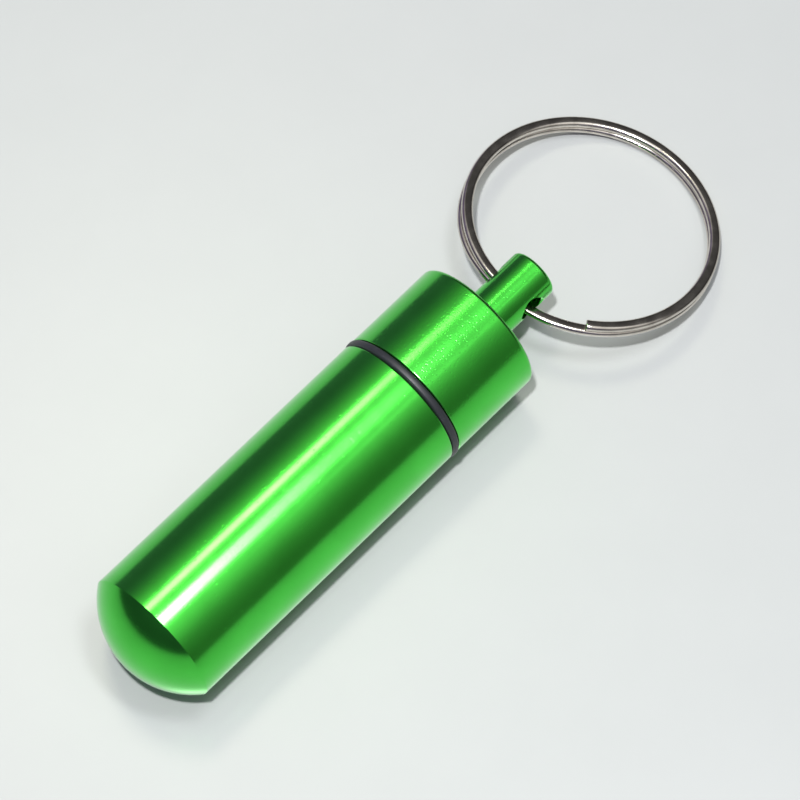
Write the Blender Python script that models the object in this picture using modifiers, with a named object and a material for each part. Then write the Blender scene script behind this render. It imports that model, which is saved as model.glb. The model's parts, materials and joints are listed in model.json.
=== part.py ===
"""A keychain pill fob: a turned aluminium tube, its O-ring, its screw cap and a split key ring.

The fob lies on its side on a flat surface. World +X runs along the tube towards the key ring,
+Z is up, and the cross hole in the cap's lug runs along Y. The origin is on the surface, below
the middle of the object's bounding box. Everything is in metres.

Turned pieces are drawn as (radius, station) outlines. A station is a place along the tube's
axis, and station 0 is 0.6 mm inside the crease where the tube's dome meets its straight side.
"""

import math

import bmesh
import bpy
from mathutils import Matrix

MM = 0.001

# Tube
TUBE_RADIUS = 7.0 * MM
DOME_CREASE_STATION = -0.6 * MM
DOME_TIP_STATION = -4.127 * MM
SHOULDER_STATION = 31.5 * MM
BORE_RADIUS = 5.0 * MM
BORE_FLOOR_STATION = -1.0 * MM
BORE_FLOOR_FILLET = 1.5 * MM
EDGE_BREAK = 0.2 * MM

# Threaded neck, and the plain seat at its foot that carries the O-ring
NECK_CORE_RADIUS = 5.5 * MM
NECK_END_STATION = 38.6 * MM
SEAT_RADIUS = 5.8 * MM
SEAT_END_STATION = 32.7 * MM

# O-ring, squeezed a little oval between the shoulder and the cap's rim
SEAL_OUTER_RADIUS = 7.1 * MM
SEAL_RADIAL_THICKNESS = 1.25 * MM
SEAL_WIDTH = 0.84 * MM
SEAL_STATION = 31.95 * MM

# Screw cap with its lug
CAP_RADIUS = 7.0 * MM
CAP_RIM_STATION = 32.4 * MM
CAP_FACE_STATION = 42.3 * MM
CAP_FACE_CHAMFER = 0.35 * MM
CAVITY_RADIUS = 6.2 * MM
CAVITY_ROOF_STATION = 39.8 * MM
LUG_RADIUS = 2.5 * MM
LUG_END_STATION = 49.9 * MM
LUG_END_CHAMFER = 0.3 * MM
HOLE_STATION = 46.95 * MM
HOLE_RADIUS = 1.32 * MM
COUNTERSINK_RADIUS = 1.5 * MM

# Screw thread: one right-hand ridge on the neck, one in the cap's cavity
THREAD_PITCH = 1.0 * MM
THREAD_DEPTH = 0.5 * MM
RIDGE_FOOT_WIDTH = 0.56 * MM
RIDGE_CREST_WIDTH = 0.2 * MM
RIDGE_ROOT_DEPTH = 0.12 * MM
NECK_THREAD_START = 33.6 * MM
CAP_THREAD_START = NECK_THREAD_START + THREAD_PITCH / 2
NECK_THREAD_TURNS = 4.25
CAP_THREAD_TURNS = 4.0
FADE_TURNS = 0.3

# Split ring: flattened wire in two coils, one above the other, with one step between them
RING_OUTER_RADIUS = 12.5 * MM
WIRE_WIDTH = 1.1 * MM
WIRE_THICKNESS = 0.72 * MM
WIRE_CORNER = 0.26 * MM
COIL_GAP = 0.06 * MM
RING_HINGE_STATION = 46.65 * MM
RING_YAW = math.radians(2.2)
WIRE_START_ANGLE = 217
STEP_START_ANGLE = 534
STEP_END_ANGLE = 550
WIRE_END_ANGLE = 892

# Facets
ROUND_STEPS = 48
SEAL_SECTION_STEPS = 12
ARC_STEPS = 5
WIRE_DEGREES_PER_POINT = 7.5
WELD_DISTANCE = 0.000001

# Derived places
AXIS_HEIGHT = SEAL_OUTER_RADIUS
DOME_RISE = DOME_CREASE_STATION - DOME_TIP_STATION
DOME_SPHERE_RADIUS = (TUBE_RADIUS**2 + DOME_RISE**2) / (2 * DOME_RISE)
DOME_CENTRE_STATION = DOME_TIP_STATION + DOME_SPHERE_RADIUS
WIRE_PATH_RADIUS = RING_OUTER_RADIUS - WIRE_WIDTH / 2
LEVEL_HEIGHT = (WIRE_THICKNESS + COIL_GAP) / 2
STACK_HALF_HEIGHT = LEVEL_HEIGHT + WIRE_THICKNESS / 2


def ring_droop():
    """Angle by which the ring slopes down from its hinge so that its far edge meets the surface."""
    reach = WIRE_PATH_RADIUS + RING_OUTER_RADIUS - WIRE_CORNER
    drop = STACK_HALF_HEIGHT - WIRE_CORNER
    height = AXIS_HEIGHT - WIRE_CORNER
    return math.asin(height / math.hypot(reach, drop)) - math.atan2(drop, reach)


RING_DROOP = ring_droop()


def ring_reach():
    """How far the ring stands out beyond its hinge along X."""
    along = math.cos(RING_DROOP) * math.cos(RING_YAW)
    round_part = (RING_OUTER_RADIUS - WIRE_CORNER) * math.hypot(along, math.sin(RING_YAW))
    tilt_part = (STACK_HALF_HEIGHT - WIRE_CORNER) * math.sin(RING_DROOP)
    return WIRE_PATH_RADIUS * along + round_part + tilt_part + WIRE_CORNER


TUBE_X = -(DOME_TIP_STATION + RING_HINGE_STATION + ring_reach()) / 2
TUBE_Y = -WIRE_PATH_RADIUS * math.cos(RING_DROOP) * math.sin(RING_YAW)


def clear_scene():
    for obj in list(bpy.data.objects):
        bpy.data.objects.remove(obj, do_unlink=True)


def new_collection(name):
    collection = bpy.data.collections.new(name)
    bpy.context.scene.collection.children.link(collection)
    return collection


def principled(name, color, roughness, metallic):
    material = bpy.data.materials.new(name)
    material.use_nodes = True
    material.diffuse_color = (*color, 1.0)
    shader = material.node_tree.nodes["Principled BSDF"]
    shader.inputs["Base Color"].default_value = (*color, 1.0)
    shader.inputs["Roughness"].default_value = roughness
    shader.inputs["Metallic"].default_value = metallic
    return material


def add_object(name, data, collection, parent=None):
    obj = bpy.data.objects.new(name, data)
    collection.objects.link(obj)
    obj.parent = parent
    return obj


def add_empty(name, collection, location, rotation):
    empty = add_object(name, None, collection)
    empty.empty_display_size = 5 * MM
    empty.location = location
    empty.rotation_euler = rotation
    return empty


def arc(centre, radius, start_degrees, end_degrees, steps=ARC_STEPS):
    """Points of an arc in an outline, both ends included."""
    points = []
    for i in range(steps + 1):
        angle = math.radians(start_degrees + (end_degrees - start_degrees) * i / steps)
        r = centre[0] + radius * math.cos(angle)
        z = centre[1] + radius * math.sin(angle)
        points.append((r, z))
    return points


def turned(name, outline, origin_station, collection, parent):
    """A turned piece: an outline of (radius, station) points swept round the axis by Screw."""
    mesh = bpy.data.meshes.new(name)
    verts = [(max(radius, 0.0), 0.0, station - origin_station) for radius, station in outline]
    edges = [(i, i + 1) for i in range(len(verts) - 1)]
    mesh.from_pydata(verts, edges, [])
    obj = add_object(name, mesh, collection, parent)
    obj.location = (0, 0, origin_station)
    screw = obj.modifiers.new("turn", "SCREW")
    screw.axis = "Z"
    screw.angle = 2 * math.pi
    screw.steps = ROUND_STEPS
    screw.render_steps = ROUND_STEPS
    screw.use_merge_vertices = True
    screw.merge_threshold = WELD_DISTANCE
    screw.use_smooth_shade = True
    return obj


def poly_curve(name, points, cyclic=False, weights=None):
    """A POLY curve through points, with an optional size factor at each one."""
    curve = bpy.data.curves.new(name, "CURVE")
    curve.dimensions = "3D"
    spline = curve.splines.new("POLY")
    spline.points.add(len(points) - 1)
    for i, point in enumerate(points):
        spline.points[i].co = (*point, 1.0)
        spline.points[i].radius = weights[i] if weights else 1.0
    spline.use_cyclic_u = cyclic
    return curve


def swept(name, path, section, collection, parent=None, weights=None):
    """A closed solid: a section outline carried along a path, standing upright, ends capped."""
    section_curve = poly_curve(name + "_section", [(x, y, 0.0) for x, y in section], cyclic=True)
    section_curve.dimensions = "2D"
    section_curve.fill_mode = "NONE"
    section_object = add_object(name + "_section", section_curve, collection)
    curve = poly_curve(name + "_path", path, weights=weights)
    curve.twist_mode = "Z_UP"
    curve.bevel_mode = "OBJECT"
    curve.bevel_object = section_object
    curve.use_fill_caps = True
    guide = add_object(name + "_path", curve, collection)
    evaluated = guide.evaluated_get(bpy.context.evaluated_depsgraph_get())
    mesh = bpy.data.meshes.new_from_object(evaluated)
    mesh.name = name
    bm = bmesh.new()
    bm.from_mesh(mesh)
    bmesh.ops.remove_doubles(bm, verts=bm.verts, dist=WELD_DISTANCE)
    bmesh.ops.recalc_face_normals(bm, faces=bm.faces)
    bm.to_mesh(mesh)
    bm.free()
    bpy.data.objects.remove(guide, do_unlink=True)
    bpy.data.objects.remove(section_object, do_unlink=True)
    return add_object(name, mesh, collection, parent)


def thread_ridge(name, radius, start_station, turns, outward, origin_station, cutters, parent):
    """A helical ridge that stands out of a cylinder, or into a bore, and fades at both ends."""
    count = round(turns * ROUND_STEPS)
    path = []
    weights = []
    for i in range(count + 1):
        turn = i / ROUND_STEPS
        angle = 2 * math.pi * turn
        height = start_station - origin_station + THREAD_PITCH * turn
        path.append((radius * math.cos(angle), radius * math.sin(angle), height))
        fade = min(turn, turns - turn) / FADE_TURNS
        weights.append(min(1.0, 0.2 + 0.8 * fade))
    side = 1 if outward else -1
    foot = -side * RIDGE_ROOT_DEPTH
    crest = side * THREAD_DEPTH
    section = [
        (foot, -RIDGE_FOOT_WIDTH / 2),
        (crest, -RIDGE_CREST_WIDTH / 2),
        (crest, RIDGE_CREST_WIDTH / 2),
        (foot, RIDGE_FOOT_WIDTH / 2),
    ]
    ridge = swept(name, path, section, cutters, parent, weights)
    ridge.location = (0, 0, origin_station)
    hide_tool(ridge)
    return ridge


def hide_tool(obj):
    obj.hide_render = True
    obj.display_type = "WIRE"


def boolean(obj, tool, operation):
    modifier = obj.modifiers.new(tool.name, "BOOLEAN")
    modifier.operation = operation
    modifier.solver = "EXACT"
    modifier.object = tool


def make_body_tube(parts, cutters, axis):
    bore_fillet_centre = (BORE_RADIUS - BORE_FLOOR_FILLET, BORE_FLOOR_STATION + BORE_FLOOR_FILLET)
    crease_angle = -math.degrees(math.acos(TUBE_RADIUS / DOME_SPHERE_RADIUS))
    outline = [(0.0, BORE_FLOOR_STATION)]
    outline += arc(bore_fillet_centre, BORE_FLOOR_FILLET, -90, 0, 3)
    outline += [
        (BORE_RADIUS, NECK_END_STATION - EDGE_BREAK / 2),
        (BORE_RADIUS + EDGE_BREAK / 2, NECK_END_STATION),
        (NECK_CORE_RADIUS - EDGE_BREAK / 2, NECK_END_STATION),
        (NECK_CORE_RADIUS, NECK_END_STATION - EDGE_BREAK / 2),
        (NECK_CORE_RADIUS, SEAT_END_STATION + EDGE_BREAK),
        (SEAT_RADIUS, SEAT_END_STATION),
        (SEAT_RADIUS, SHOULDER_STATION),
        (TUBE_RADIUS - EDGE_BREAK, SHOULDER_STATION),
        (TUBE_RADIUS, SHOULDER_STATION - EDGE_BREAK),
    ]
    outline += arc((0.0, DOME_CENTRE_STATION), DOME_SPHERE_RADIUS, crease_angle, -90, 8)
    tube = turned("body_tube", outline, 0.0, parts, axis)
    ridge = thread_ridge(
        "neck_thread", NECK_CORE_RADIUS, NECK_THREAD_START, NECK_THREAD_TURNS, True, 0.0, cutters, axis
    )
    boolean(tube, ridge, "UNION")
    return tube


def make_o_ring(parts, axis):
    section_radius = SEAL_RADIAL_THICKNESS / 2
    bpy.ops.mesh.primitive_torus_add(
        major_radius=SEAL_OUTER_RADIUS - section_radius,
        minor_radius=section_radius,
        major_segments=ROUND_STEPS,
        minor_segments=SEAL_SECTION_STEPS,
    )
    seal = bpy.context.object
    seal.name = "o_ring"
    seal.data.name = "o_ring"
    for collection in list(seal.users_collection):
        collection.objects.unlink(seal)
    parts.objects.link(seal)
    seal.data.transform(Matrix.Diagonal((1, 1, SEAL_WIDTH / SEAL_RADIAL_THICKNESS, 1)))
    seal.data.shade_smooth()
    seal.parent = axis
    seal.location = (0, 0, SEAL_STATION)
    return seal


def make_cross_hole_cutter(cutters, axis):
    """A straight drill with a 45 degree countersink at each side of the lug."""
    flare = COUNTERSINK_RADIUS - HOLE_RADIUS
    sink_start = LUG_RADIUS - flare
    past_end = LUG_RADIUS * 1.4
    end_radius = HOLE_RADIUS + past_end - sink_start
    outline = [
        (0.0, past_end),
        (end_radius, past_end),
        (HOLE_RADIUS, sink_start),
        (HOLE_RADIUS, -sink_start),
        (end_radius, -past_end),
        (0.0, -past_end),
    ]
    cutter = turned("cross_hole", outline, 0.0, cutters, axis)
    cutter.location = (0, 0, HOLE_STATION)
    cutter.rotation_euler = (math.pi / 2, 0, 0)
    hide_tool(cutter)
    return cutter


def make_screw_cap(parts, cutters, axis):
    outline = [
        (0.0, LUG_END_STATION),
        (LUG_RADIUS - LUG_END_CHAMFER, LUG_END_STATION),
        (LUG_RADIUS, LUG_END_STATION - LUG_END_CHAMFER),
        (LUG_RADIUS, CAP_FACE_STATION),
        (CAP_RADIUS - CAP_FACE_CHAMFER, CAP_FACE_STATION),
        (CAP_RADIUS, CAP_FACE_STATION - CAP_FACE_CHAMFER),
        (CAP_RADIUS, CAP_RIM_STATION + EDGE_BREAK),
        (CAP_RADIUS - EDGE_BREAK, CAP_RIM_STATION),
        (CAVITY_RADIUS + EDGE_BREAK, CAP_RIM_STATION),
        (CAVITY_RADIUS, CAP_RIM_STATION + EDGE_BREAK),
        (CAVITY_RADIUS, CAVITY_ROOF_STATION - EDGE_BREAK),
        (CAVITY_RADIUS - EDGE_BREAK, CAVITY_ROOF_STATION),
        (0.0, CAVITY_ROOF_STATION),
    ]
    cap = turned("screw_cap", outline, CAP_RIM_STATION, parts, axis)
    ridge = thread_ridge(
        "cap_thread", CAVITY_RADIUS, CAP_THREAD_START, CAP_THREAD_TURNS, False, 0.0, cutters, axis
    )
    boolean(cap, ridge, "UNION")
    boolean(cap, make_cross_hole_cutter(cutters, axis), "DIFFERENCE")
    return cap


def wire_section():
    """The flattened wire's outline: a rectangle with round corners, width across, height up."""
    half_width = WIRE_WIDTH / 2 - WIRE_CORNER
    half_height = WIRE_THICKNESS / 2 - WIRE_CORNER
    corners = [
        (half_width, half_height, 0),
        (-half_width, half_height, 90),
        (-half_width, -half_height, 180),
        (half_width, -half_height, 270),
    ]
    section = []
    for x, y, start in corners:
        section += arc((x, y), WIRE_CORNER, start, start + 90, 2)
    return section


def wire_level(degrees):
    """Height of the wire's middle: upper coil, then one smooth step down to the lower coil."""
    share = (degrees - STEP_START_ANGLE) / (STEP_END_ANGLE - STEP_START_ANGLE)
    share = min(max(share, 0.0), 1.0)
    return LEVEL_HEIGHT * math.cos(math.pi * share)


def make_split_ring(parts, hinge):
    count = round((WIRE_END_ANGLE - WIRE_START_ANGLE) / WIRE_DEGREES_PER_POINT)
    path = []
    for i in range(count + 1):
        degrees = WIRE_START_ANGLE + (WIRE_END_ANGLE - WIRE_START_ANGLE) * i / count
        angle = math.radians(degrees)
        x = WIRE_PATH_RADIUS * (1 + math.cos(angle))
        y = WIRE_PATH_RADIUS * math.sin(angle)
        path.append((x, y, wire_level(degrees)))
    ring = swept("split_ring", path, wire_section(), parts, hinge)
    ring.data.shade_smooth()
    return ring


def main():
    clear_scene()
    parts = new_collection("keychain_pill_fob")
    cutters = new_collection("cutters")
    axis = add_empty("tube_axis", parts, (TUBE_X, TUBE_Y, AXIS_HEIGHT), (0, math.pi / 2, 0))
    hinge_place = (TUBE_X + RING_HINGE_STATION, TUBE_Y, AXIS_HEIGHT)
    hinge = add_empty("ring_hinge", parts, hinge_place, (0, RING_DROOP, RING_YAW))

    tube = make_body_tube(parts, cutters, axis)
    seal = make_o_ring(parts, axis)
    cap = make_screw_cap(parts, cutters, axis)
    ring = make_split_ring(parts, hinge)

    anodised = principled("green_anodised_aluminium", (0.03, 0.45, 0.04), 0.22, 1.0)
    rubber = principled("black_rubber", (0.012, 0.012, 0.015), 0.5, 0.0)
    nickel = principled("nickel_plated_steel", (0.6, 0.58, 0.55), 0.18, 1.0)
    tube.data.materials.append(anodised)
    cap.data.materials.append(anodised)
    seal.data.materials.append(rubber)
    ring.data.materials.append(nickel)


main()
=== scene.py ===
"""Looks of a keychain pill fob: turned green aluminium capsule, O-ring, screw cap and split ring.

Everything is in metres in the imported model's frame: X runs along the tube to the key ring, Z is
up and the floor is at Z = 0. Turned pieces are drawn as (radius, station, fillet) corners. A
station is a place along the axis, and station 0 is 0.6 mm inside the crease of the tube's dome.
"""

import json
import math

import bmesh
import bpy
import numpy as np
from mathutils import Matrix, Vector


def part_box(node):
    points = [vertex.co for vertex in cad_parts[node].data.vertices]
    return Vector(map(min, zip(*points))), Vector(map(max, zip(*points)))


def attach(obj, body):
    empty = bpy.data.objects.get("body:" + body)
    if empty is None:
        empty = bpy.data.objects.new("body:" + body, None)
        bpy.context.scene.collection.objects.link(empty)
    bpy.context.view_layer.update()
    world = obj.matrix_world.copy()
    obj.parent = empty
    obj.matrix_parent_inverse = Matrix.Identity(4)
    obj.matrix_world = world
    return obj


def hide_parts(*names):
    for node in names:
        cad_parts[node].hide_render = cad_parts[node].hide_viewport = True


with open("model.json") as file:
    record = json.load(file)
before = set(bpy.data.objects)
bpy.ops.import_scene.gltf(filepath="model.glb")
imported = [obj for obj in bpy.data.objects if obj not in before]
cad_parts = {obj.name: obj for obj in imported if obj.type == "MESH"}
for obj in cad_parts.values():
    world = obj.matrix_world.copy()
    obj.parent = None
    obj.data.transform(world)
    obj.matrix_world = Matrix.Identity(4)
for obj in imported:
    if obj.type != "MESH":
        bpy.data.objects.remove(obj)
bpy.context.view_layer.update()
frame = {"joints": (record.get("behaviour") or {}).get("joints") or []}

MM = 0.001

# Tube and neck
TUBE_RADIUS = 7.0 * MM
DOME_CREASE_STATION = -0.6 * MM
DOME_TIP_STATION = -4.127 * MM
SHOULDER_STATION = 31.5 * MM
BORE_RADIUS = 5.0 * MM
BORE_FLOOR_STATION = -1.0 * MM
BORE_FLOOR_FILLET = 1.5 * MM
NECK_CORE_RADIUS = 5.5 * MM
NECK_END_STATION = 38.6 * MM
SEAT_RADIUS = 5.8 * MM
NECK_END_FILLET = 0.1 * MM
SEAT_END_STATION = 32.7 * MM
SEAT_END_SLOPE = 0.15 * MM
SEAT_END_FILLET = 0.05 * MM
SEAT_FOOT_FILLET = 0.1 * MM
EDGE_FILLET = 0.16 * MM
DOME_RISE = DOME_CREASE_STATION - DOME_TIP_STATION
DOME_SPHERE_RADIUS = (TUBE_RADIUS**2 + DOME_RISE**2) / (2 * DOME_RISE)
DOME_CENTRE_STATION = DOME_TIP_STATION + DOME_SPHERE_RADIUS

# Seal
SEAL_OUTER_RADIUS = 7.1 * MM
SEAL_RADIAL_THICKNESS = 1.25 * MM
SEAL_WIDTH = 0.84 * MM
SEAL_STATION = 31.95 * MM
SEAL_SQUEEZE = 0.62
SEAL_SECTION_STEPS = 36

# Cap and lug
CAP_RADIUS = 7.0 * MM
CAP_RIM_STATION = 32.4 * MM
CAP_FACE_STATION = 42.3 * MM
CAP_FACE_ROUND = 0.4 * MM
CAVITY_RADIUS = 6.2 * MM
CAVITY_ROOF_STATION = 39.8 * MM
CAVITY_FILLET = 0.15 * MM
LUG_RADIUS = 2.5 * MM
LUG_END_STATION = 49.9 * MM
LUG_END_ROUND = 0.35 * MM
LUG_FOOT_FILLET = 0.12 * MM
HOLE_STATION = 46.95 * MM
HOLE_RADIUS = 1.32 * MM
COUNTERSINK_RADIUS = 1.5 * MM
HOLE_EDGE_FILLET = 0.12 * MM
DRILL_REACH = 1.4

# Threads
THREAD_PITCH = 1.0 * MM
THREAD_DEPTH = 0.48 * MM
RIDGE_FOOT_HALF = 0.3 * MM
RIDGE_CREST_HALF = 0.08 * MM
NECK_THREAD = (33.6 * MM, 4.25)
CAP_THREAD = (34.1 * MM, 4.0)
FADE_TURNS = 0.3

# Split ring. Angles run along the wire from its first end, and the wire rests on its corner.
RING_OUTER_RADIUS = 12.5 * MM
WIRE_WIDTH = 1.1 * MM
WIRE_THICKNESS = 0.72 * MM
WIRE_CORNER = 0.35 * MM
WIRE_RESTING_CORNER = 0.26 * MM
COIL_GAP = 0.06 * MM
WIRE_START_ANGLE = 217
STEP_START_ANGLE = 534
STEP_END_ANGLE = 550
WIRE_END_ANGLE = 892
SPREAD_START_ANGLE = 805
WIRE_SPREAD = 0.3 * MM
WIRE_SPREAD_SKEW = 1.6
WIRE_END_ROUND = 0.09 * MM
WIRE_END_TAPER = 0.16
WIRE_END_STOPS = (0.0, 0.15, 0.35, 0.65, 1.0)
WIRE_PATH_RADIUS = RING_OUTER_RADIUS - WIRE_WIDTH / 2
LEVEL_HEIGHT = (WIRE_THICKNESS + COIL_GAP) / 2
STACK_HALF_HEIGHT = LEVEL_HEIGHT + WIRE_THICKNESS / 2

# Mesh fineness
AROUND = 192
ARC_DEGREES = 10
DOME_STEPS = 48
SUPPORT = 0.04 * MM
SMOOTH_DEGREES = 28
WALL_ROW = 1.0 * MM
LUG_ROW = 0.12 * MM
THREAD_ROW = 0.045 * MM
THREAD_MARGIN = 0.3 * MM
EDGE_MARGIN = 0.2 * MM
LUG_END_MARGIN = 0.5 * MM
WIRE_DEGREES_PER_ROW = 2.0
WIRE_CORNER_STEPS = 6
TOUCHING = 1e-9

# Finishes: colours, depths of surface marks and the metal's range of roughness
ANODISED_GREEN = (0.070, 0.69, 0.059, 1)
ANODISED_DEEP = (0.062, 0.63, 0.052, 1)
ANODISED_WORN = (0.16, 0.62, 0.14, 1)
METAL_ROUGHNESS = (0.163, 0.182)
TURNING_DEPTH = 1.5e-6
NICK_SCALE = 4200.0
NICK_DEPTH = 9e-6
RUBBER = (0.016, 0.018, 0.022, 1)
RUBBER_DUST = (0.045, 0.048, 0.055, 1)
RUBBER_GRAIN_DEPTH = 8e-6
NICKEL_DULL = (0.58, 0.535, 0.475, 1)
NICKEL_BRIGHT = (0.72, 0.67, 0.60, 1)
NICKEL_GRAIN_DEPTH = 2e-6
FLOOR_DARKER = (0.401, 0.415, 0.413, 1)
FLOOR_PALER = (0.421, 0.435, 0.433, 1)

# Room, floor and camera
GLOW_DIRECTION = (0.0, -0.06, 1.0)
GLOW_STOPS = [
    (0.0, 0.19),
    (0.25, 0.175),
    (0.41, 0.215),
    (0.56, 0.28),
    (0.68, 0.40),
    (0.79, 0.63),
    (0.88, 0.86),
    (0.95, 0.84),
    (1.0, 0.78),
]
FAR_TINT = (0.74, 0.62, 1.10, 1)
DOME_END_TINT = (0.42, 0.40, 0.62, 1)
RING_END_TINT = (0.22, 0.22, 0.23, 1)
FLOOR_HALF = 1.5
FLOOR_FAR_EDGE = 0.17
LIT_PLACE = (-0.010, -0.008, 0.0)
CAMERA_ELEVATION = 67.0
CAMERA_AZIMUTH = -46.1
CAMERA_DISTANCE = 0.45

# Where the turned pieces' axis runs and where station 0 is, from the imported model
TUBE_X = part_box("body_tube")[1].x - NECK_END_STATION
AXIS_Y = (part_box("o_ring")[0].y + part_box("o_ring")[1].y) / 2
AXIS_Z = (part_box("o_ring")[0].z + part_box("o_ring")[1].z) / 2


# ---------------------------------------------------------------- turned shapes


def arc(centre, radius, start_degrees, end_degrees, steps):
    """Points of an arc in an outline, both ends included, as sharp corners."""
    points = []
    for i in range(steps + 1):
        angle = math.radians(start_degrees + (end_degrees - start_degrees) * i / steps)
        points.append((centre[0] + radius * math.cos(angle), centre[1] + radius * math.sin(angle), 0))
    return points


def fillet(before, corner, after, radius):
    """A fine arc in place of a corner, with a support point on each flat beside it."""
    first = (before - corner).normalized()
    second = (after - corner).normalized()
    half = first.angle(second) / 2
    tangent = radius / math.tan(half)
    centre = corner + (first + second).normalized() * (radius / math.sin(half))
    start = corner + first * tangent - centre
    sweep = (math.pi - 2 * half) * (1 if start.cross(corner + second * tangent - centre) > 0 else -1)
    steps = max(2, math.ceil(abs(math.degrees(sweep)) / ARC_DEGREES))
    points = [corner + first * (tangent + min(SUPPORT, radius))]
    for i in range(steps + 1):
        points.append(centre + Matrix.Rotation(-sweep * i / steps, 2).inverted() @ start)
    points.append(corner + second * (tangent + min(SUPPORT, radius)))
    return points


def outline(corners):
    """Points of a turned outline, and how worn each one is: 1 on a fillet and 0 elsewhere."""
    points = []
    wear = []
    for i, (radius, station, rounding) in enumerate(corners):
        here = Vector((radius, station))
        if rounding and 0 < i < len(corners) - 1:
            made = fillet(Vector(corners[i - 1][:2]), here, Vector(corners[i + 1][:2]), rounding)
            points += made
            wear += [0.0] + [1.0] * (len(made) - 2) + [0.0]
        else:
            points.append(here)
            wear.append(0.0)
    return points, wear


def rows(radius, start, end, spacing):
    """Corners along a straight wall, so that a thread or a cut has fine faces to live in."""
    count = max(1, round(abs(end - start) / spacing))
    return [(radius, start + (end - start) * i / count, 0) for i in range(1, count)]


def ridge_height(station, turn, start, turns):
    """Height of a rounded thread ridge at a station and a share of a turn round the axis."""
    along = (station - start) / THREAD_PITCH - turn
    nearest = np.round(along)
    offset = np.abs(along - nearest) * THREAD_PITCH
    flank = np.clip((RIDGE_FOOT_HALF - offset) / (RIDGE_FOOT_HALF - RIDGE_CREST_HALF), 0, 1)
    position = nearest + turn
    fade = np.clip(np.minimum(position, turns - position) / FADE_TURNS, 0, 1)
    return THREAD_DEPTH * flank * flank * (3 - 2 * flank) * fade * fade * (3 - 2 * fade)


def lathe(name, corners, thread=None, wall_radius=None, outward=1):
    """A closed turned mesh about the axis. Points on wall_radius carry the thread's ridge."""
    points, wear = outline(corners)
    turn = np.arange(AROUND) / AROUND
    verts = []
    weights = []
    rings = []
    for point, worn in zip(points, wear):
        on_axis = point.x < TOUCHING
        angles = turn[:1] if on_axis else turn
        radius = np.full(len(angles), max(point.x, 0.0))
        if thread and abs(point.x - wall_radius) < TOUCHING:
            radius = radius + outward * ridge_height(point.y, angles, *thread)
        first = len(verts)
        around = 2 * math.pi * angles
        verts += zip(
            np.full(len(angles), TUBE_X + point.y),
            AXIS_Y + radius * np.sin(around),
            AXIS_Z - radius * np.cos(around),
        )
        weights += [worn] * len(angles)
        rings.append([first + (0 if on_axis else i) for i in range(AROUND)])
    faces = []
    for ring, following in zip(rings, rings[1:]):
        for i in range(AROUND):
            j = (i + 1) % AROUND
            quad = [ring[i], ring[j], following[j], following[i]]
            faces.append(list(dict.fromkeys(quad)))
    mesh = bpy.data.meshes.new(name)
    mesh.from_pydata(verts, [], faces)
    worn_edges = mesh.attributes.new("worn_edge", "FLOAT", "POINT")
    worn_edges.data.foreach_set("value", weights)
    return as_object(name, mesh)


def as_object(name, mesh):
    """Adds the mesh to the scene with outward normals and smooth shading between sharp edges."""
    bm = bmesh.new()
    bm.from_mesh(mesh)
    bmesh.ops.recalc_face_normals(bm, faces=bm.faces)
    bm.to_mesh(mesh)
    bm.free()
    finish_shading(mesh)
    obj = bpy.data.objects.new(name, mesh)
    bpy.context.scene.collection.objects.link(obj)
    return obj


def finish_shading(mesh):
    """Smooth shading, with sharp edges where two faces meet at more than a small angle."""
    mesh.shade_smooth()
    mesh.set_sharp_from_angle(angle=math.radians(SMOOTH_DEGREES))


def cut(obj, tool):
    """Cuts the tool out of the piece for good and removes the tool."""
    modifier = obj.modifiers.new("cut", "BOOLEAN")
    modifier.operation = "DIFFERENCE"
    modifier.solver = "EXACT"
    modifier.object = tool
    evaluated = obj.evaluated_get(bpy.context.evaluated_depsgraph_get())
    mesh = bpy.data.meshes.new_from_object(evaluated)
    obj.modifiers.clear()
    obj.data = mesh
    mesh.name = obj.name
    finish_shading(mesh)
    bpy.data.objects.remove(tool, do_unlink=True)


def stand_for(obj, node, body, material):
    """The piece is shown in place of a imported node, moves with a body and takes a finish."""
    obj.data.materials.clear()
    obj.data.materials.append(material)
    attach(obj, body)
    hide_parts(node)


# ---------------------------------------------------------------- pieces


def make_tube():
    """The tube with its bore, threaded neck, seal seat, shoulder and dome, as one turned shell."""
    corners = [
        (0.0, BORE_FLOOR_STATION, 0),
        (BORE_RADIUS, BORE_FLOOR_STATION, BORE_FLOOR_FILLET),
        (BORE_RADIUS, NECK_END_STATION, NECK_END_FILLET),
        (NECK_CORE_RADIUS, NECK_END_STATION, NECK_END_FILLET),
    ]
    thread_top = NECK_END_STATION - EDGE_MARGIN
    corners += rows(NECK_CORE_RADIUS, thread_top, SEAT_END_STATION + THREAD_MARGIN, THREAD_ROW)
    corners += [
        (NECK_CORE_RADIUS, SEAT_END_STATION + SEAT_END_SLOPE, 0),
        (SEAT_RADIUS, SEAT_END_STATION, SEAT_END_FILLET),
        (SEAT_RADIUS, SHOULDER_STATION, SEAT_FOOT_FILLET),
        (TUBE_RADIUS, SHOULDER_STATION, EDGE_FILLET),
    ]
    corners += rows(TUBE_RADIUS, SHOULDER_STATION, DOME_CREASE_STATION, WALL_ROW)
    crease = -math.degrees(math.acos(TUBE_RADIUS / DOME_SPHERE_RADIUS))
    dome = arc((0.0, DOME_CENTRE_STATION), DOME_SPHERE_RADIUS, crease, -90, DOME_STEPS)
    corners += [(TUBE_RADIUS, DOME_CREASE_STATION, 0), *dome[1:-1], (0.0, DOME_TIP_STATION, 0)]
    return lathe("tube_shell", corners, NECK_THREAD, NECK_CORE_RADIUS)


def squared(value):
    """Pulls a sine or cosine toward its ends, which turns an oval section into a squeezed one."""
    return math.copysign(abs(value) ** SEAL_SQUEEZE, value)


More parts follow.
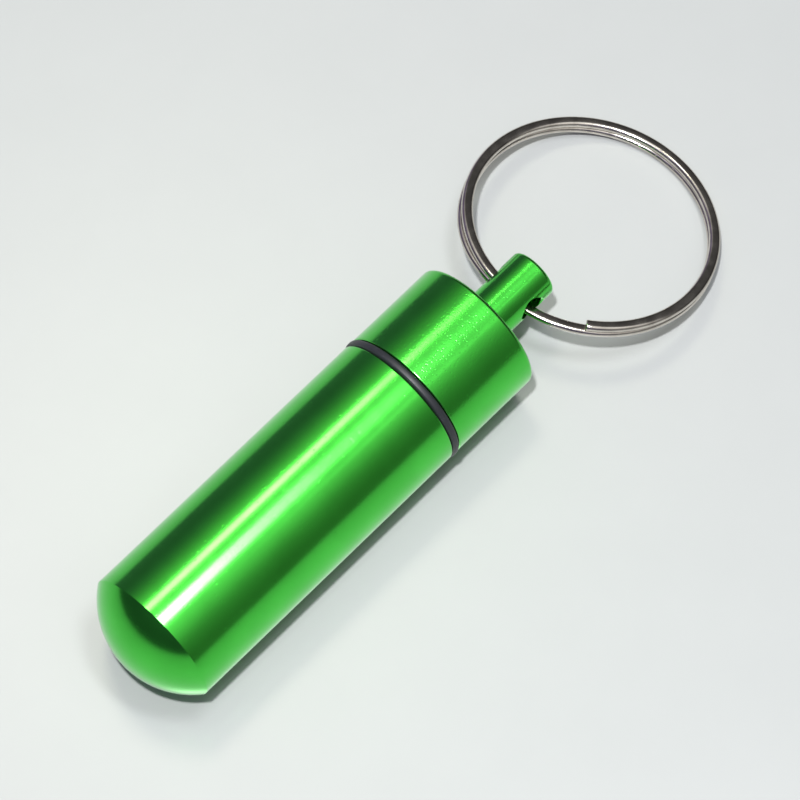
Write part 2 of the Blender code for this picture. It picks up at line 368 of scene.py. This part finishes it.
def make_seal():
    """An oval-section ring, squeezed flat where it meets the shoulder and the rim."""
    half_width = SEAL_WIDTH / 2
    half_thick = SEAL_RADIAL_THICKNESS / 2
    middle = SEAL_OUTER_RADIUS - half_thick
    verts = []
    faces = []
    for i in range(AROUND):
        around = 2 * math.pi * i / AROUND
        for k in range(SEAL_SECTION_STEPS):
            angle = 2 * math.pi * k / SEAL_SECTION_STEPS
            radius = middle + half_thick * squared(math.cos(angle))
            x = TUBE_X + SEAL_STATION + half_width * squared(math.sin(angle))
            verts.append((x, AXIS_Y + radius * math.sin(around), AXIS_Z - radius * math.cos(around)))
    for i in range(AROUND):
        j = (i + 1) % AROUND
        for k in range(SEAL_SECTION_STEPS):
            m = (k + 1) % SEAL_SECTION_STEPS
            a = i * SEAL_SECTION_STEPS
            b = j * SEAL_SECTION_STEPS
            faces.append((a + k, a + m, b + m, b + k))
    mesh = bpy.data.meshes.new("seal_ring")
    mesh.from_pydata(verts, [], faces)
    return as_object("seal_ring", mesh)


def make_cross_drill():
    """A drill through the lug along Y, with a 45 degree countersink at each side."""
    flare = COUNTERSINK_RADIUS - HOLE_RADIUS
    sink_start = LUG_RADIUS - flare
    past_end = LUG_RADIUS * DRILL_REACH
    end_radius = HOLE_RADIUS + past_end - sink_start
    drill = lathe(
        "cross_drill",
        [
            (0.0, -past_end, 0),
            (end_radius, -past_end, 0),
            (HOLE_RADIUS, -sink_start, HOLE_EDGE_FILLET),
            (HOLE_RADIUS, sink_start, HOLE_EDGE_FILLET),
            (end_radius, past_end, 0),
            (0.0, past_end, 0),
        ],
    )
    to_axis = Matrix.Translation((-TUBE_X, -AXIS_Y, -AXIS_Z))
    across = Matrix.Rotation(math.pi / 2, 4, "Z")
    place = Matrix.Translation((TUBE_X + HOLE_STATION, AXIS_Y, AXIS_Z))
    drill.data.transform(place @ across @ to_axis)
    return drill


def make_cap():
    """The cap with its lug and its threaded cavity, and then the lug's cross hole cut out."""
    corners = [(0.0, LUG_END_STATION, 0), (LUG_RADIUS, LUG_END_STATION, LUG_END_ROUND)]
    lug_top = LUG_END_STATION - LUG_END_MARGIN
    corners += rows(LUG_RADIUS, lug_top, CAP_FACE_STATION + EDGE_MARGIN, LUG_ROW)
    corners += [
        (LUG_RADIUS, CAP_FACE_STATION, LUG_FOOT_FILLET),
        (CAP_RADIUS, CAP_FACE_STATION, CAP_FACE_ROUND),
    ]
    corners += rows(CAP_RADIUS, CAP_FACE_STATION, CAP_RIM_STATION, WALL_ROW)
    corners += [
        (CAP_RADIUS, CAP_RIM_STATION, EDGE_FILLET),
        (CAVITY_RADIUS, CAP_RIM_STATION, CAVITY_FILLET),
    ]
    thread_foot = CAP_RIM_STATION + THREAD_MARGIN
    corners += rows(CAVITY_RADIUS, thread_foot, CAVITY_ROOF_STATION - THREAD_MARGIN, THREAD_ROW)
    corners += [
        (CAVITY_RADIUS, CAVITY_ROOF_STATION, CAVITY_FILLET),
        (0.0, CAVITY_ROOF_STATION, 0),
    ]
    cap = lathe("cap_shell", corners, CAP_THREAD, CAVITY_RADIUS, -1)
    cut(cap, make_cross_drill())
    return cap


def ring_droop():
    """Angle by which the ring slopes down from its hinge so that its far edge meets the floor."""
    reach = WIRE_PATH_RADIUS + RING_OUTER_RADIUS - WIRE_RESTING_CORNER
    drop = STACK_HALF_HEIGHT - WIRE_RESTING_CORNER
    height = AXIS_Z - WIRE_RESTING_CORNER
    return math.asin(height / math.hypot(reach, drop)) - math.atan2(drop, reach)


def wire_level(degrees):
    """Height of the wire's middle: upper coil, then one smooth step down to the lower coil."""
    share = (degrees - STEP_START_ANGLE) / (STEP_END_ANGLE - STEP_START_ANGLE)
    return LEVEL_HEIGHT * math.cos(math.pi * min(max(share, 0.0), 1.0))


def wire_spread(degrees):
    """How far the lower coil's free length springs outward before it passes into the lug."""
    share = (degrees - SPREAD_START_ANGLE) / (WIRE_END_ANGLE - SPREAD_START_ANGLE)
    return WIRE_SPREAD * math.sin(math.pi * min(max(share, 0.0), 1.0) ** WIRE_SPREAD_SKEW) ** 2


def wire_section(scale):
    """The flattened wire's outline: a rectangle with round corners, as (across, up) offsets."""
    half_width = WIRE_WIDTH / 2 - WIRE_CORNER
    half_height = WIRE_THICKNESS / 2 - WIRE_CORNER
    quarters = [(1, 1, 0), (-1, 1, 90), (-1, -1, 180), (1, -1, 270)]
    section = []
    for across, up, start in quarters:
        for i in range(WIRE_CORNER_STEPS + 1):
            angle = math.radians(start + 90 / WIRE_CORNER_STEPS * i)
            x = across * half_width + WIRE_CORNER * math.cos(angle)
            y = up * half_height + WIRE_CORNER * math.sin(angle)
            section.append((x * scale, y * scale))
    return section


def wire_rows():
    """Distances along the wire and the section's scale at each: full, but for two rounded ends."""
    length = math.radians(WIRE_END_ANGLE - WIRE_START_ANGLE) * WIRE_PATH_RADIUS
    count = round((WIRE_END_ANGLE - WIRE_START_ANGLE) / WIRE_DEGREES_PER_ROW)
    tapered = [(WIRE_END_ROUND * s, 1 - WIRE_END_TAPER * (1 - s) ** 2) for s in WIRE_END_STOPS]
    step = length - 2 * WIRE_END_ROUND
    middle = [(WIRE_END_ROUND + step * i / count, 1.0) for i in range(1, count)]
    return tapered + middle + [(length - distance, scale) for distance, scale in reversed(tapered)]


def ring_frame():
    """Place of the ring: origin on its hinge, turned to its yaw and drooping to the floor."""
    joint = next(j for j in frame["joints"] if j["name"] == "ring_swing")
    yaw = math.atan2(-joint["axis"][0], joint["axis"][1])
    hinge = Matrix.Translation(joint["pos_m"]) @ Matrix.Rotation(yaw, 4, "Z")
    return hinge @ Matrix.Rotation(ring_droop(), 4, "Y")


def make_ring():
    """One wire swept round two coils."""
    hinge = ring_frame()
    along = wire_rows()
    verts = []
    for distance, scale in along:
        degrees = WIRE_START_ANGLE + math.degrees(distance / WIRE_PATH_RADIUS)
        angle = math.radians(degrees)
        rise = wire_level(degrees + 0.5) - wire_level(degrees - 0.5)
        slope = rise / (math.radians(1) * WIRE_PATH_RADIUS)
        radial = Vector((math.cos(angle), math.sin(angle), 0))
        tangent = Vector((-math.sin(angle), math.cos(angle), slope)).normalized()
        up = radial.cross(tangent)
        middle = radial * (WIRE_PATH_RADIUS + wire_spread(degrees))
        middle += Vector((WIRE_PATH_RADIUS, 0, wire_level(degrees)))
        verts += [tuple(hinge @ (middle + radial * x + up * y)) for x, y in wire_section(scale)]
    size = len(wire_section(1.0))
    faces = []
    for i in range(len(along) - 1):
        for k in range(size):
            m = (k + 1) % size
            faces.append((i * size + k, i * size + m, (i + 1) * size + m, (i + 1) * size + k))
    faces.append(list(range(size)))
    faces.append(list(range((len(along) - 1) * size, len(along) * size)))
    mesh = bpy.data.meshes.new("ring_wire")
    mesh.from_pydata(verts, [], faces)
    return as_object("ring_wire", mesh)


# ---------------------------------------------------------------- materials


def new_material(name):
    """A material and its Principled shader."""
    material = bpy.data.materials.new(name)
    material.use_nodes = True
    return material, material.node_tree, material.node_tree.nodes["Principled BSDF"]


def node(tree, kind, inputs=None, **settings):
    """Adds a node. An input that is a socket is linked, and any other is set."""
    made = tree.nodes.new(kind)
    for key, value in settings.items():
        setattr(made, key, value)
    for key, value in (inputs or {}).items():
        if isinstance(value, bpy.types.NodeSocket):
            tree.links.new(value, made.inputs[key])
        else:
            made.inputs[key].default_value = value
    return made


def maths(tree, operation, *values):
    """A Math node's output."""
    return node(tree, "ShaderNodeMath", dict(enumerate(values)), operation=operation).outputs[0]


def ramp(tree, value, low, high, to_low=0.0, to_high=1.0):
    """A smooth step of a value from one range to another."""
    inputs = {"Value": value, "From Min": low, "From Max": high, "To Min": to_low, "To Max": to_high}
    return node(tree, "ShaderNodeMapRange", inputs, interpolation_type="SMOOTHSTEP").outputs[0]


def mixed(tree, share, first, second):
    """A mix of two colours."""
    made = node(tree, "ShaderNodeMix", data_type="RGBA")
    for socket, value in (("Factor_Float", share), ("A_Color", first), ("B_Color", second)):
        target = next(s for s in made.inputs if s.identifier == socket)
        if isinstance(value, bpy.types.NodeSocket):
            tree.links.new(value, target)
        else:
            target.default_value = value
    return next(s for s in made.outputs if s.identifier == "Result_Color")


def noise(tree, vector, scale, detail=2.0, roughness=0.5):
    """A noise's value, 0 to 1."""
    inputs = {"Vector": vector, "Scale": scale, "Detail": detail, "Roughness": roughness}
    return node(tree, "ShaderNodeTexNoise", inputs).outputs["Fac"]


def bump(tree, height, strength, distance, below=None):
    """A Bump node's normal, on top of another bump where one is given."""
    inputs = {"Strength": strength, "Distance": distance, "Height": height}
    if below is not None:
        inputs["Normal"] = below
    return node(tree, "ShaderNodeBump", inputs).outputs[0]


def object_place(tree):
    """Place on the piece, in metres."""
    return node(tree, "ShaderNodeTexCoord").outputs["Object"]


def lathe_place(tree, place):
    """Station and radius of a place, so that a noise in them gives rings round the axis."""
    parts = node(tree, "ShaderNodeSeparateXYZ", {"Vector": place}).outputs
    y = maths(tree, "SUBTRACT", parts["Y"], AXIS_Y)
    z = maths(tree, "SUBTRACT", parts["Z"], AXIS_Z)
    squares = maths(tree, "ADD", maths(tree, "MULTIPLY", y, y), maths(tree, "MULTIPLY", z, z))
    radius = maths(tree, "SQRT", squares)
    return node(tree, "ShaderNodeCombineXYZ", {"X": parts["X"], "Y": radius}).outputs[0]


def edge_wear(tree, place):
    """How worn the surface is: ragged on the filleted edges and none elsewhere."""
    edge = node(tree, "ShaderNodeAttribute", attribute_name="worn_edge").outputs["Fac"]
    ragged = noise(tree, place, 3500)
    return maths(tree, "MULTIPLY", edge, ramp(tree, ragged, 0.35, 0.6, 0.25, 0.8))


def nicks(tree, place, density):
    """Small round pits in a share of the cells of a Voronoi pattern, as a height."""
    cells = node(tree, "ShaderNodeTexVoronoi", {"Vector": place, "Scale": NICK_SCALE, "Randomness": 1.0})
    chosen = node(tree, "ShaderNodeSeparateColor", {"Color": cells.outputs["Color"]}).outputs[0]
    present = maths(tree, "LESS_THAN", chosen, density)
    pit = maths(tree, "MULTIPLY", present, ramp(tree, cells.outputs["Distance"], 0.05, 0.45, 1.0, 0.0))
    return maths(tree, "MULTIPLY", pit, -1.0)


def turned_metal(name, nick_density, handling):
    """Dyed anodised aluminium off a lathe: fine rings, faint blotches, handling marks and nicks."""
    material, tree, shader = new_material(name)
    place = object_place(tree)
    along_lathe = lathe_place(tree, place)
    worn = edge_wear(tree, place)

    blotch = ramp(tree, noise(tree, place, 260, 3.0), 0.3, 0.7)
    base = mixed(tree, blotch, ANODISED_DEEP, ANODISED_GREEN)
    base = mixed(tree, maths(tree, "MULTIPLY", worn, 0.4), base, ANODISED_WORN)
    tree.links.new(base, shader.inputs["Base Color"])
    shader.inputs["Metallic"].default_value = 1.0
    shader.inputs["Coat Weight"].default_value = 0.4
    shader.inputs["Coat Roughness"].default_value = 0.15
    shader.inputs["Anisotropic"].default_value = 0.1
    shader.inputs["Anisotropic Rotation"].default_value = 0.25
    tangent = node(tree, "ShaderNodeTangent", direction_type="RADIAL", axis="X")
    tree.links.new(tangent.outputs[0], shader.inputs["Tangent"])
    turned_rough = ramp(tree, noise(tree, along_lathe, 900), 0.3, 0.7, *METAL_ROUGHNESS)
    rough = maths(tree, "ADD", turned_rough, maths(tree, "MULTIPLY", worn, 0.06))
    tree.links.new(rough, shader.inputs["Roughness"])

    marks = bump(tree, noise(tree, along_lathe, 16000, 3.0, 0.6), 0.5, TURNING_DEPTH)
    rubbed = bump(tree, noise(tree, place, 4200, 3.0, 0.6), 0.5, handling, marks)
    pitted = bump(tree, nicks(tree, place, nick_density), 0.6, NICK_DEPTH, rubbed)
    tree.links.new(pitted, shader.inputs["Normal"])
    return material


def seal_rubber():
    """Black rubber with a faint mould grain and a little dust."""
    material, tree, shader = new_material("seal_rubber")
    place = object_place(tree)
    grain = noise(tree, place, 9000, 3.0)
    dust = ramp(tree, noise(tree, place, 1800, 4.0, 0.7), 0.55, 0.8)
    tree.links.new(mixed(tree, dust, RUBBER, RUBBER_DUST), shader.inputs["Base Color"])
    tree.links.new(ramp(tree, grain, 0.2, 0.8, 0.38, 0.55), shader.inputs["Roughness"])
    tree.links.new(bump(tree, grain, 0.3, RUBBER_GRAIN_DEPTH), shader.inputs["Normal"])
    return material


def drawn_nickel():
    """Nickel plated spring wire: a fine grain and a slightly uneven warm plate."""
    material, tree, shader = new_material("drawn_nickel")
    place = object_place(tree)
    blotch = noise(tree, place, 700, 3.0)
    plate = mixed(tree, ramp(tree, blotch, 0.3, 0.7), NICKEL_DULL, NICKEL_BRIGHT)
    tree.links.new(plate, shader.inputs["Base Color"])
    shader.inputs["Metallic"].default_value = 1.0
    tree.links.new(ramp(tree, blotch, 0.3, 0.7, 0.13, 0.2), shader.inputs["Roughness"])
    grain = noise(tree, place, 12000, 3.0, 0.6)
    tree.links.new(bump(tree, grain, 0.25, NICKEL_GRAIN_DEPTH), shader.inputs["Normal"])
    return material


def floor_paint():
    """A pale satin table top with a very faint mottle."""
    material, tree, shader = new_material("pale_floor")
    mottle = noise(tree, object_place(tree), 120, 4.0, 0.6)
    tree.links.new(mixed(tree, mottle, FLOOR_DARKER, FLOOR_PALER), shader.inputs["Base Color"])
    shader.inputs["Roughness"].default_value = 0.3
    return material


# ---------------------------------------------------------------- stage, light and camera


def make_floor():
    """A flat sheet that ends a short way behind the piece, which keeps the far side dim."""
    mesh = bpy.data.meshes.new("floor")
    sides = [(-FLOOR_HALF, -FLOOR_HALF), (FLOOR_HALF, -FLOOR_HALF)]
    sides += [(FLOOR_HALF, FLOOR_FAR_EDGE), (-FLOOR_HALF, FLOOR_FAR_EDGE)]
    mesh.from_pydata([(x, y, 0) for x, y in sides], [], [(0, 1, 2, 3)])
    floor = bpy.data.objects.new("floor", mesh)
    bpy.context.scene.collection.objects.link(floor)
    mesh.materials.append(floor_paint())


def area_light(name, location, size, radiance, colour=(1.0, 1.0, 1.0), spread=180):
    """A rectangular lamp that faces the piece and has the given brightness along its middle."""
    half = math.radians(min(spread, 179.9)) / 2
    gain = math.tan(half) / (math.tan(half) - half)
    data = bpy.data.lights.new(name, "AREA")
    data.shape = "RECTANGLE"
    data.size, data.size_y = size
    data.spread = math.radians(spread)
    data.energy = radiance * math.pi * size[0] * size[1] / gain
    data.color = colour
    lamp = bpy.data.objects.new(name, data)
    bpy.context.scene.collection.objects.link(lamp)
    back = (Vector(location) - Vector(LIT_PLACE)).normalized()
    side = (Vector((1, 0, 0)) - back * back.x).normalized()
    turn = Matrix((side, back.cross(side), back)).transposed().to_4x4()
    lamp.matrix_world = Matrix.Translation(location) @ turn


def make_lights():
    """Two soft lamps that draw the tube's stripes, a faint one for the cap, and a small key."""
    area_light("window", (0.0565, -0.064, 0.50), (0.057, 0.125), 33.0, (0.95, 0.98, 1.0))
    area_light("tube_lamp", (0.090, 0.179, 0.50), (0.12, 0.078), 10.8, (1.0, 1.0, 0.74))
    area_light("second_window", (0.200, -0.25, 0.50), (0.12, 0.06), 0.5)
    area_light("key", (-0.152, -0.082, 0.70), (0.028, 0.028), 2200.0, spread=110)


def grey_ramp(tree, value, stops):
    """A Color Ramp through grey stops of (position, brightness)."""
    made = node(tree, "ShaderNodeValToRGB", {"Fac": value})
    band = made.color_ramp
    first, *inner, last = stops
    for element, (position, brightness) in zip(band.elements, (first, last)):
        element.position = position
        element.color = (brightness, brightness, brightness, 1)
    for position, brightness in inner:
        band.elements.new(position).color = (brightness, brightness, brightness, 1)
    return made.outputs["Color"]


def make_world():
    """A dim room whose ceiling glows, with a violet far wall and darker walls at both ends."""
    world = bpy.data.worlds.new("room")
    bpy.context.scene.world = world
    world.use_nodes = True
    tree = world.node_tree
    direction = node(tree, "ShaderNodeTexCoord").outputs["Generated"]
    parts = node(tree, "ShaderNodeSeparateXYZ", {"Vector": direction}).outputs
    dot = node(tree, "ShaderNodeVectorMath", {0: direction, 1: GLOW_DIRECTION}, operation="DOT_PRODUCT")
    glow = grey_ramp(tree, dot.outputs["Value"], GLOW_STOPS)
    tint = mixed(tree, ramp(tree, parts["Y"], 0.62, 0.92), (1.0, 1.0, 1.0, 1), FAR_TINT)
    tint = mixed(tree, ramp(tree, parts["X"], -0.15, -0.5), tint, DOME_END_TINT)
    tint = mixed(tree, ramp(tree, parts["X"], 0.42, 0.62), tint, RING_END_TINT)
    sky = node(tree, "ShaderNodeVectorMath", {0: glow, 1: tint}, operation="MULTIPLY")
    tree.links.new(sky.outputs[0], tree.nodes["Background"].inputs["Color"])


def make_camera():
    """A long lens that looks down across the tube from beyond its domed end."""
    azimuth = math.radians(CAMERA_AZIMUTH)
    elevation = math.radians(CAMERA_ELEVATION)
    target = Vector((TUBE_X + 31.8 * MM, AXIS_Y + 0.05 * MM, AXIS_Z))
    back = Vector((
        math.sin(azimuth) * math.cos(elevation),
        -math.cos(azimuth) * math.cos(elevation),
        math.sin(elevation),
    ))
    data = bpy.data.cameras.new("camera")
    data.sensor_width = 36.0
    data.lens = 219.2
    camera = bpy.data.objects.new("camera", data)
    bpy.context.scene.collection.objects.link(camera)
    camera.location = target + back * CAMERA_DISTANCE
    camera.rotation_mode = "QUATERNION"
    camera.rotation_quaternion = (-back).to_track_quat("-Z", "Y")
    bpy.context.scene.camera = camera


def main():
    green = turned_metal("green_anodised", nick_density=0.06, handling=2.5e-6)
    worn_green = turned_metal("green_anodised_cap", nick_density=0.4, handling=8e-6)
    stand_for(make_tube(), "body_tube", "container", green)
    stand_for(make_seal(), "o_ring", "seal", seal_rubber())
    stand_for(make_cap(), "screw_cap", "cap", worn_green)
    stand_for(make_ring(), "split_ring", "key_ring", drawn_nickel())
    make_floor()
    make_world()
    make_lights()
    make_camera()
    bpy.context.scene.view_settings.view_transform = "Standard"


main()
